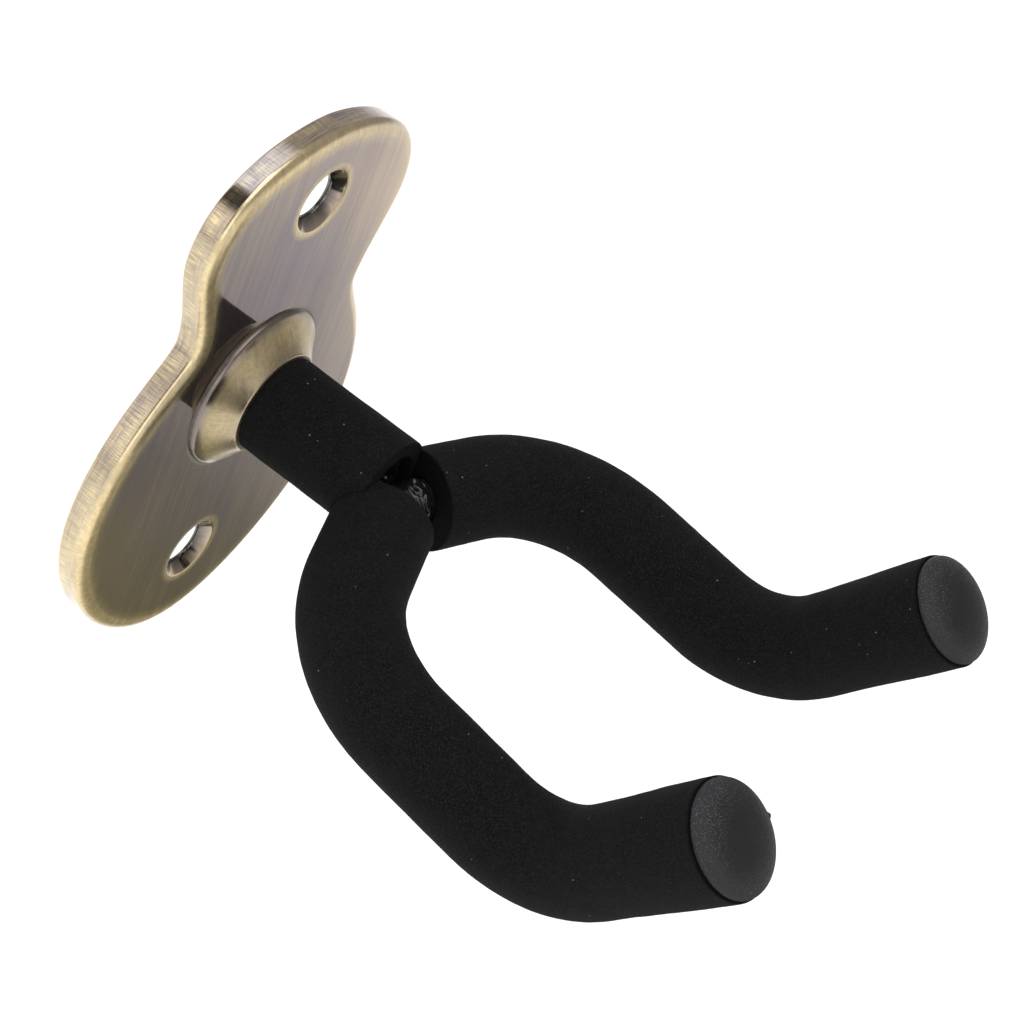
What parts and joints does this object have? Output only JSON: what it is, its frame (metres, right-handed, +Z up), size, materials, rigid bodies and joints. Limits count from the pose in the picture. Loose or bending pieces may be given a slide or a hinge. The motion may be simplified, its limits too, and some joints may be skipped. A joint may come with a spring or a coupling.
{
  "type": "guitar wall hanger",
  "caption": "Guitar-shaped cast wall plate with a flared boss that carries a swivelling, foam-padded fork with domed rubber end caps, to hang an instrument by its headstock.",
  "frame": {"origin": "the point where the swivel's axis meets the wall, which is the plane Y = 0", "axes": "+Y into the wall, so the hanger stands out towards -Y; +Z up; +X to the right of someone behind the hanger's open end looking at the wall"},
  "size_m": [0.0932, 0.1333, 0.1116],
  "materials": {
    "antique_brass": "satin",
    "nylon": "satin",
    "zinc_plated_steel": "satin",
    "black_paint": "gloss",
    "black_foam": "matte",
    "grey_rubber": "matte"
  },
  "bodies": {
    "plate": {"base_plate": "antique_brass", "flanged_bush": "nylon", "friction_washer": "nylon", "wave_spring": "zinc_plated_steel"},
    "fork": {"shank": "black_paint", "yoke_rod": "black_paint", "weld_bead": "black_paint", "shank_sleeve": "black_foam", "right_arm_sleeve": "black_foam", "left_arm_sleeve": "black_foam", "right_end_cap": "grey_rubber", "left_end_cap": "grey_rubber", "backing_washer": "zinc_plated_steel", "retaining_ring": "zinc_plated_steel"}
  },
  "joints": [
    {"name": "fork_swivel", "type": "hinge", "parent": "plate", "child": "fork", "pos_m": [0, 0, 0], "axis": [0, -1, 0], "continuous": true}
  ]
}
